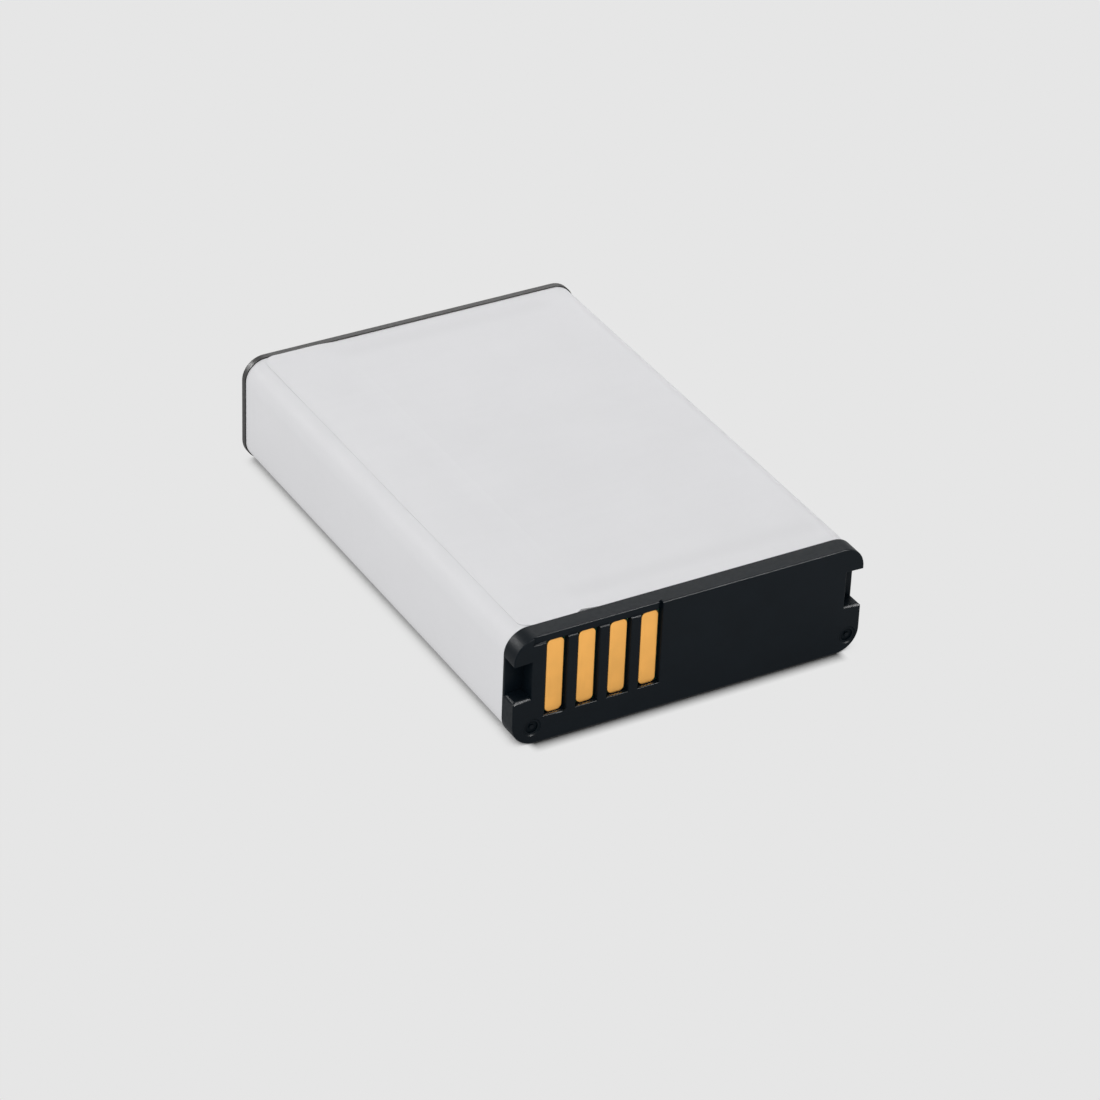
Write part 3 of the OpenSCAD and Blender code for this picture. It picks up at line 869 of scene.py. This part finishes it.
@dataclass
class Case:
    """Contact cap and end frame, the two black mouldings."""

    sill_edging: Edging = Edging(0.3 * MM, 3, -27.5 * MM, 2.75 * MM)
    cap_edging: Edging = Edging(0.12 * MM, 3, -26.6 * MM)
    frame_edging: Edging = Edging(0.07 * MM, 2, 27.0 * MM)

    def build(self) -> None:
        """Makes both mouldings, with the rims kept sharp where they meet the film."""
        Bench.dressed("contact_cap", CAP_PLASTIC, self.sill_edging, self.cap_edging)
        Bench.dressed("end_frame", FRAME_PLASTIC, self.frame_edging)


@dataclass
class ContactSet:
    """The four gold-plated contacts behind the windows."""

    nodes: tuple[str, ...] = ("contact_positive", "contact_data", "contact_sense", "contact_negative")

    def build(self) -> None:
        """Makes each contact."""
        for node in self.nodes:
            Bench.dressed(node, GOLD_PLATE)


@dataclass
class Sleeve:
    """Film wound round the middle, with one lap on the top."""

    width: float = 37.5 * MM
    height: float = 11.3 * MM
    corner: float = 2.15 * MM
    middle_z: float = 5.9 * MM
    front: float = -26.4 * MM
    back: float = 27.75 * MM
    film: float = 0.12 * MM
    free_edge: float = -17.1 * MM
    lap: float = 6.1 * MM
    ramp: float = 0.6 * MM
    fade: float = 2.6 * MM
    edge_corner: float = 1.3 * MM
    nick_depth: float = 0.32 * MM
    nick_length: float = 3.6 * MM
    columns: int = 252
    rows: int = 96
    fillet_points: int = 24
    lap_columns: int = 64
    lap_rows: int = 180
    lap_crowding: float = 1.6
    lap_films: float = 2.0
    end_films: float = 0.9
    wave: float = 0.02 * MM
    wave_size: float = 9.0 * MM
    under_share: float = 0.3
    dip: float = 0.05 * MM
    sink: float = 0.02 * MM
    pressed_edge: float = 0.5 * MM
    pressed_share: float = 0.5

    def build(self) -> None:
        """Makes the winding and the lap over it."""
        self.winding()
        self.overlap()

    def unevenness(self, tree: Tree, x: Value, y: Value) -> Socket:
        """Adds how far the film stands proud: long waves, and dips where it bridges the gaps below.

        Args:
            tree: Tree to add to.
            x: Place across the pack.
            y: Place along the pack.

        Returns:
            Socket of the height in metres.
        """
        place = tree.scaled(tree.join(x, y, 0.0), 1.0 / self.wave_size)
        keys = {"Vector": place, "Scale": 1.0, "Detail": 1.0, "Roughness": 0.4}
        noise = tree.add("ShaderNodeTexNoise", keys, noise_dimensions="3D").outputs["Fac"]
        height = tree.times(tree.minus(noise, 0.5), tree.size("Wave", self.wave))
        depth = tree.size("Dip", self.dip)
        for bridge in BRIDGES:
            height = tree.minus(height, tree.times(bridge.share(tree, x, y), depth))
        return height

    def front_line(self, tree: Tree, x: Value) -> Socket:
        """Adds the film's front edge with the narrow gap beside the lap.

        Args:
            tree: Tree to add to.
            x: Place across the pack.

        Returns:
            Socket of the edge's place along the pack.
        """
        tip = self.free_edge + self.lap + self.ramp / 2
        opening = tree.ramp(x, tip - self.ramp, tip)
        closing = tree.ramp(x, tip, tip + self.nick_length, 1.0, 0.0)
        share = tree.math("MINIMUM", opening, closing)
        depth = tree.times(share, tree.size("Gap at the cap", self.nick_depth))
        return tree.plus(depth, tree.size("Front", self.front))

    def winding(self) -> None:
        """Makes the film's first layer: a grid laid round a rectangle with round corners."""
        tree = Tree("Film winding")
        width, height = tree.size("Width", self.width), tree.size("Height", self.height)
        corner, film = tree.size("Corner radius", self.corner), tree.size("Film thickness", self.film)
        columns, rows = tree.size("Columns", self.columns), tree.size("Rows", self.rows)
        mesh, around, along = tree.grid(columns, rows)
        path = tree.add("GeometryNodeCurvePrimitiveQuadrilateral", {"Width": width, "Height": height})
        keys = {"Curve": path.outputs[0], "Radius": corner, "Count": self.fillet_points}
        fillet = tree.add("GeometryNodeFilletCurve", keys, mode="POLY")
        keys = {"Curves": fillet.outputs[0], "Factor": around}
        sample = tree.add("GeometryNodeSampleCurve", keys, mode="FACTOR", use_all_curves=True)
        x, z, _ = tree.split(sample.outputs["Position"])
        outward = []
        for place, size in ((x, width), (z, height)):
            half = tree.minus(tree.times(size, 0.5), corner)
            held = tree.math("MAXIMUM", tree.math("MINIMUM", place, half), tree.times(half, -1.0))
            outward.append(tree.minus(place, held))
        out = tree.vector("NORMALIZE", tree.join(outward[0], 0.0, outward[1]))
        top = tree.math("GREATER_THAN", z, 0.0)
        nick = tree.times(top, tree.minus(self.front_line(tree, x), self.front))
        front, back = tree.plus(self.front, nick), tree.size("Back", self.back)
        y = tree.plus(front, tree.times(along, tree.minus(back, front)))
        share = tree.math("MULTIPLY_ADD", top, 1.0 - self.under_share, self.under_share)
        proud = tree.plus(film, tree.times(self.unevenness(tree, x, y), share))
        place = tree.vector("ADD", tree.join(x, y, tree.plus(z, self.middle_z)), tree.scaled(out, proud))
        keys = {"Geometry": tree.placed(mesh, place), "Distance": MERGE_DISTANCE}
        closed = tree.add("GeometryNodeMergeByDistance", keys).outputs[0]
        piece = tree.made("film_winding", closed, WHITE_FILM)
        self.thicken(piece, self.film)
        Bench.finished(piece, WHITE_FILM, "film_sleeve")

    def overlap(self) -> None:
        """Makes the lap: a patch with round corners at its free edge and a ramp at the other."""
        tree = Tree("Film lap")
        start, lap = tree.size("Free edge", self.free_edge), tree.size("Lap", self.lap)
        fade, film = tree.size("Fade", self.fade), tree.size("Film thickness", self.film)
        corner = tree.size("Edge corner radius", self.edge_corner)
        wind = tree.size("Winding corner radius", self.corner)
        back = tree.size("Back", self.back)
        mesh, across, along = tree.grid(self.lap_columns, self.lap_rows)
        reach = tree.times(tree.math("POWER", across, self.lap_crowding), tree.plus(lap, fade))
        x = tree.plus(start, reach)
        cut = tree.minus(corner, tree.leg(corner, tree.excess(corner, reach)))
        first, last = tree.plus(self.front_line(tree, x), cut), tree.minus(back, cut)
        y = tree.plus(first, tree.times(along, tree.minus(last, first)))
        fall = tree.ramp(tree.minus(reach, lap), 0.0, fade, self.lap_films, self.end_films, smooth=True)
        edge = tree.size("Pressed edge", self.pressed_edge)
        pressed = tree.ramp(reach, 0.0, edge, self.pressed_share, 0.0, smooth=True)
        proud = tree.times(tree.minus(fall, pressed), film)
        radius = tree.plus(wind, tree.plus(proud, self.unevenness(tree, x, y)))
        past = tree.excess(tree.math("ABSOLUTE", x), self.width / 2 - self.corner)
        z = tree.plus(tree.leg(radius, past), self.middle_z + self.height / 2 - self.corner)
        piece = tree.made("film_lap", tree.placed(mesh, tree.join(x, y, z)), WHITE_FILM)
        self.thicken(piece, self.film + self.sink)
        Bench.finished(piece, WHITE_FILM)

    def thicken(self, piece: Piece, thickness: float) -> None:
        """Turns a sheet's faces outwards, gives it its thickness inwards and shades it smooth.

        Args:
            piece: Sheet with one layer of faces.
            thickness: Thickness of the film in metres.
        """
        work = bmesh.new()
        work.from_mesh(piece.data)
        bmesh.ops.recalc_face_normals(work, faces=work.faces)
        centre, sideways = Vector((0.0, 0.0, self.middle_z)), Vector((1.0, 0.0, 1.0))
        outward = sum(f.normal.dot((f.calc_center_median() - centre) * sideways) for f in work.faces)
        if outward < 0:
            bmesh.ops.reverse_faces(work, faces=work.faces)
        work.to_mesh(piece.data)
        work.free()
        wall = piece.modifiers.new("Film thickness", "SOLIDIFY")
        wall.thickness = thickness
        wall.offset = -1.0
        wall.use_even_offset = True
        Bench.settle(piece)
        Bench.smoothed(piece)


@dataclass
class CellBlock:
    """Sealed cell with what is fixed to its lid, and the foam pad behind it."""

    edge: float = 0.04 * MM
    sheet_edge: float = 0.02 * MM
    foam_edging: Edging = Edging(0.15 * MM, 3)

    def build(self) -> None:
        """Makes each part."""
        Bench.dressed("cell", CAN_ALUMINIUM, self.edge)
        Bench.dressed("terminal_gasket", GASKET_PLASTIC, self.edge)
        Bench.dressed("terminal_rivet", PLATED_STEEL)
        Bench.dressed("fill_plug", LID_ALUMINIUM)
        Bench.dressed("clad_plate", NICKEL_STRIP, self.sheet_edge)
        Bench.dressed("lid_insulator", FIBRE_SHEET, self.sheet_edge)
        Bench.dressed("end_foam", END_FOAM, self.foam_edging)


@dataclass
class Leads:
    """Nickel strips and the thermal cut-off between cell and board."""

    strip_edge: float = 0.02 * MM
    cutoff_edge: float = 0.05 * MM

    def build(self) -> None:
        """Makes each part."""
        for node in ("positive_tab", "negative_tab", "cutoff_lead"):
            Bench.dressed(node, NICKEL_STRIP, self.strip_edge)
        Bench.dressed("thermal_cutoff", CHIP_MOULDING, self.cutoff_edge)


@dataclass(frozen=True)
class JointRow:
    """Two level rows of solder joints, at the upper and lower ends of one node's leads."""

    node: str
    count: int
    pitch: float


@dataclass
class Board:
    """Circuit board, its spacer, and what is soldered to it."""

    edge: float = 0.03 * MM
    spacer_edge: float = 0.08 * MM
    body_half: float = 0.5 * MM
    joint_segments: int = 20
    joint_rings: int = 12
    joint_radius: float = 0.24 * MM
    joint_flatness: float = 0.4
    joint_inset: float = 0.12 * MM
    rows: tuple[JointRow, ...] = (
        JointRow("protection_chip", 3, 0.95 * MM),
        JointRow("mosfet_pair", 4, 0.65 * MM),
        JointRow("identification_chip", 2, 1.9 * MM),
        JointRow("thermistor", 1, 1.6 * MM),
        JointRow("chip_resistors", 3, 1.6 * MM),
        JointRow("chip_capacitors", 2, 1.6 * MM),
    )

    def build(self) -> None:
        """Makes the board and its parts."""
        low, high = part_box("chip_capacitors")
        body = ((low.z + high.z) / 2, self.body_half)
        ceramic = ChipCeramic("chip_capacitor_ceramic", Slot.CERAMIC, (0.3, 0.2, 0.12), *body)
        resistor = ChipCeramic("chip_resistor_glazed", Slot.CHIP, (0.015, 0.015, 0.018), *body)
        Bench.dressed("board_spacer", SPACER_PLASTIC, self.spacer_edge)
        Bench.dressed("circuit_board", BOARD_LAMINATE, self.edge)
        for node in ("protection_chip", "mosfet_pair", "identification_chip"):
            Bench.dressed(node, CHIP_MOULDING, self.edge)
        Bench.dressed("thermistor", ceramic, self.edge)
        Bench.dressed("chip_capacitors", ceramic, self.edge)
        Bench.dressed("chip_resistors", resistor, self.edge)
        self.joints()

    def joints(self) -> None:
        """Makes the solder joints: a flat dome laid on every point of each row."""
        tree = Tree("Solder joints")
        radius = tree.size("Joint radius", self.joint_radius)
        scale = tree.join(1.0, tree.size("Flatness", self.joint_flatness), 1.0)
        keys = {"Segments": self.joint_segments, "Rings": self.joint_rings, "Radius": radius}
        ball = tree.add("GeometryNodeMeshUVSphere", keys).outputs[0]
        dome = tree.add("GeometryNodeTransform", {"Geometry": ball, "Scale": scale}).outputs[0]
        whole = tree.add("GeometryNodeJoinGeometry")
        for row in self.rows:
            low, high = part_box(row.node)
            first = (low.x + high.x) / 2 - row.pitch * (row.count - 1) / 2
            step = tree.join(tree.size(f"Pitch of {row.node}", row.pitch), 0.0, 0.0)
            for z in (low.z + self.joint_inset, high.z - self.joint_inset):
                keys = {"Count": row.count, "Start Location": (first, low.y, z), "Offset": step}
                line = tree.add("GeometryNodeMeshLine", keys, mode="OFFSET").outputs[0]
                laid = tree.add("GeometryNodeInstanceOnPoints", {"Points": line, "Instance": dome}).outputs[0]
                tree.tree.links.new(laid, whole.inputs[0])
        piece = tree.made("solder_joints", whole.outputs[0], SOLDER)
        Bench.smoothed(piece)
        Bench.finished(piece, SOLDER)


@dataclass(frozen=True)
class Softbox:
    """Square light that faces the pack."""

    name: str
    direction: tuple[float, float, float]
    distance: float
    side: float
    power: float
    diffuse: bool = True

    def build(self) -> None:
        """Adds the light, unseen by the camera itself."""
        light = bpy.data.lights.new(self.name, "AREA")
        light.shape = "SQUARE"
        light.size = self.side
        light.energy = self.power
        made = bpy.data.objects.new(self.name, light)
        towards = Vector(self.direction).normalized()
        made.location = towards * self.distance
        made.rotation_mode = "QUATERNION"
        made.rotation_quaternion = (-towards).to_track_quat("-Z", "Y")
        made.visible_camera = False
        made.visible_diffuse = self.diffuse
        bpy.context.scene.collection.objects.link(made)


@dataclass(frozen=True)
class PhotoCamera:
    """Camera at the photograph's place, with its centre in the middle of the frame."""

    azimuth: float = -30.5797
    elevation: float = 32.865
    roll: float = 2.3774
    distance: float = 435.684 * MM
    shift_right: float = -0.722 * MM
    shift_up: float = 4.8994 * MM
    aim_z: float = 5.9 * MM
    lens: float = 144.87
    sensor: float = 36.0
    clip_start: float = 0.01
    clip_end: float = 50.0

    def build(self) -> None:
        """Adds the camera and makes it the scene's."""
        turn, tilt, roll = (math.radians(a) for a in (self.azimuth, self.elevation, self.roll))
        back = Vector((math.sin(turn) * math.cos(tilt), -math.cos(turn) * math.cos(tilt), math.sin(tilt)))
        level = (-back).cross(Vector((0.0, 0.0, 1.0))).normalized()
        upright = level.cross(-back)
        right = math.cos(roll) * level + math.sin(roll) * upright
        up = -math.sin(roll) * level + math.cos(roll) * upright
        data = bpy.data.cameras.new("photo_camera")
        data.lens = self.lens
        data.sensor_width = self.sensor
        data.clip_start = self.clip_start
        data.clip_end = self.clip_end
        made = bpy.data.objects.new("photo_camera", data)
        place = back * self.distance - right * self.shift_right - up * self.shift_up
        turned = Matrix((right, up, back)).transposed().to_4x4()
        made.matrix_world = Matrix.Translation(place + Vector((0.0, 0.0, self.aim_z))) @ turned
        bpy.context.scene.collection.objects.link(made)
        bpy.context.scene.camera = made


@dataclass(frozen=True)
class Studio:
    """Pale floor and even light, as round a pack photographed on white."""

    backdrop: float = 0.791
    sky: float = 0.68
    bounce: float = 1.03
    horizon: float = 0.05
    floor_half: float = 6.0
    shadow_reach: float = 1.6 * MM
    foot_half: float = 17.4 * MM
    foot_fade: float = 0.8 * MM
    foot_start: float = 0.5
    foot_tone: float = 0.02
    side_power: float = 4.0
    side_depth: float = 2.0
    side_tone: float = 0.15
    pack_half_x: float = 19.0 * MM
    pack_half_y: float = 28.5 * MM
    shade_reach: float = 12.0 * MM
    shaded_bounce: float = 0.8
    shaded_mirror: float = 0.6
    softboxes: tuple[Softbox, ...] = (
        Softbox("softbox_back_right", (0.427, 0.723, 0.543), 0.3, 0.16, 0.19),
        Softbox("softbox_back_left", (-0.54, 0.72, 0.43), 0.7, 0.12, 5.0, diffuse=False),
        Softbox("softbox_front_right", (0.43, -0.54, 0.72), 0.7, 0.1, 18.0, diffuse=False),
        Softbox("softbox_front_left", (-0.45, -0.4, 0.8), 0.7, 0.3, 1.4),
    )

    def build(self) -> None:
        """Adds the world, the floor, the lights and the camera."""
        bpy.context.scene.view_settings.view_transform = "Standard"
        self.world()
        self.floor()
        for softbox in self.softboxes:
            softbox.build()
        PhotoCamera().build()

    @staticmethod
    def seen(graph: Graph) -> Socket:
        """Adds the test for rays that look straight, in a mirror or through glass.

        Args:
            graph: Graph of the world.

        Returns:
            Socket that is 1 for those rays and 0 for the light on the pack.
        """
        path = graph.add("ShaderNodeLightPath").outputs
        seen = graph.math("MAXIMUM", path["Is Camera Ray"], path["Is Glossy Ray"])
        return graph.math("MAXIMUM", seen, path["Is Transmission Ray"])

    def world(self) -> None:
        """Makes the even light from all round."""
        world = bpy.data.worlds.new("studio_world")
        world.use_nodes = True
        graph = Graph(world.node_tree)
        _, _, upwards = graph.split(graph.add("ShaderNodeTexCoord").outputs["Generated"])
        around = graph.ramp(upwards, -self.horizon, self.horizon, self.bounce, self.sky)
        strength = graph.ramp(self.seen(graph), 0.0, 1.0, around, self.backdrop)
        light = graph.add("ShaderNodeBackground", {"Color": WHITE, "Strength": strength})
        graph.add("ShaderNodeOutputWorld", {"Surface": light.outputs[0]})
        bpy.context.scene.world = world

    def contact_shade(self, graph: Graph, x: Value) -> Socket:
        """Adds the pack's close shadow, dark under the rims' flat feet and softer beside them.

        Args:
            graph: Graph of the floor.
            x: Distance across the pack from its middle.

        Returns:
            Socket of a share from 0 in full shadow to 1 in the open.
        """
        keys = {"Distance": self.shadow_reach}
        near = graph.add("ShaderNodeAmbientOcclusion", keys, samples=8).outputs["AO"]
        under_foot = graph.ramp(near, self.foot_start, 1.0, self.foot_tone, 1.0)
        hidden = graph.times(graph.math("POWER", graph.minus(1.0, near), self.side_power), self.side_depth)
        beside = graph.math("MAXIMUM", graph.minus(1.0, hidden), self.side_tone)
        return graph.ramp(x, self.foot_half - self.foot_fade, self.foot_half, under_foot, beside)

    def floor(self) -> None:
        """Makes the floor, which shows the backdrop's tone and the pack's close shadow from above."""
        material = bpy.data.materials.new("studio_floor")
        material.use_nodes = True
        graph = Graph(material.node_tree)
        place = graph.add("ShaderNodeTexCoord").outputs["Object"]
        x, y, _ = (graph.math("ABSOLUTE", distance) for distance in graph.split(place))
        clear_x, clear_y = graph.excess(x, self.pack_half_x), graph.excess(y, self.pack_half_y)
        keys = {0: graph.join(clear_x, clear_y, 0.0)}
        away = graph.add("ShaderNodeVectorMath", keys, operation="LENGTH").outputs["Value"]
        bounce = graph.ramp(away, 0.0, self.shade_reach, self.shaded_bounce * self.bounce, self.bounce)
        ahead = graph.ramp(clear_y, 0.0, self.shade_reach, self.shaded_mirror * self.backdrop, self.backdrop)
        mirror = graph.ramp(clear_x, 0.0, self.shadow_reach, ahead, self.backdrop)
        tone = graph.times(self.contact_shade(graph, x), self.backdrop)
        path = graph.add("ShaderNodeLightPath").outputs
        strength = bounce
        for ray, shown in (("Glossy", mirror), ("Transmission", self.backdrop), ("Camera", tone)):
            strength = graph.ramp(path[f"Is {ray} Ray"], 0.0, 1.0, strength, shown)
        glow = graph.add("ShaderNodeEmission", {"Color": WHITE, "Strength": strength})
        clear = graph.add("ShaderNodeBsdfTransparent")
        under = graph.add("ShaderNodeNewGeometry").outputs["Backfacing"]
        surface = graph.add("ShaderNodeMixShader", {0: under, 1: glow.outputs[0], 2: clear.outputs[0]})
        graph.add("ShaderNodeOutputMaterial", {"Surface": surface.outputs[0]})
        mesh = bpy.data.meshes.new("studio_floor")
        half = self.floor_half
        corners = [(-2.0 * half, -half, 0.0), (2.0 * half, -half, 0.0), (0.0, 2.0 * half, 0.0)]
        mesh.from_pydata(corners, [], [(0, 1, 2)])
        mesh.materials.append(material)
        Bench.shown("studio_floor", mesh)


def main() -> None:
    """Loads the frame, dresses each sub-assembly and sets up the studio."""
    logging.basicConfig(level=logging.INFO, format="%(name)s: %(message)s", stream=sys.stdout)
    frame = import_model()
    LOG.info("%d nodes loaded", len(frame["nodes"]))
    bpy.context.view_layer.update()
    for assembly in (Case(), ContactSet(), Sleeve(), CellBlock(), Leads(), Board(), Studio()):
        LOG.info("building %s", type(assembly).__name__)
        assembly.build()


if __name__ == "__main__":
    main()
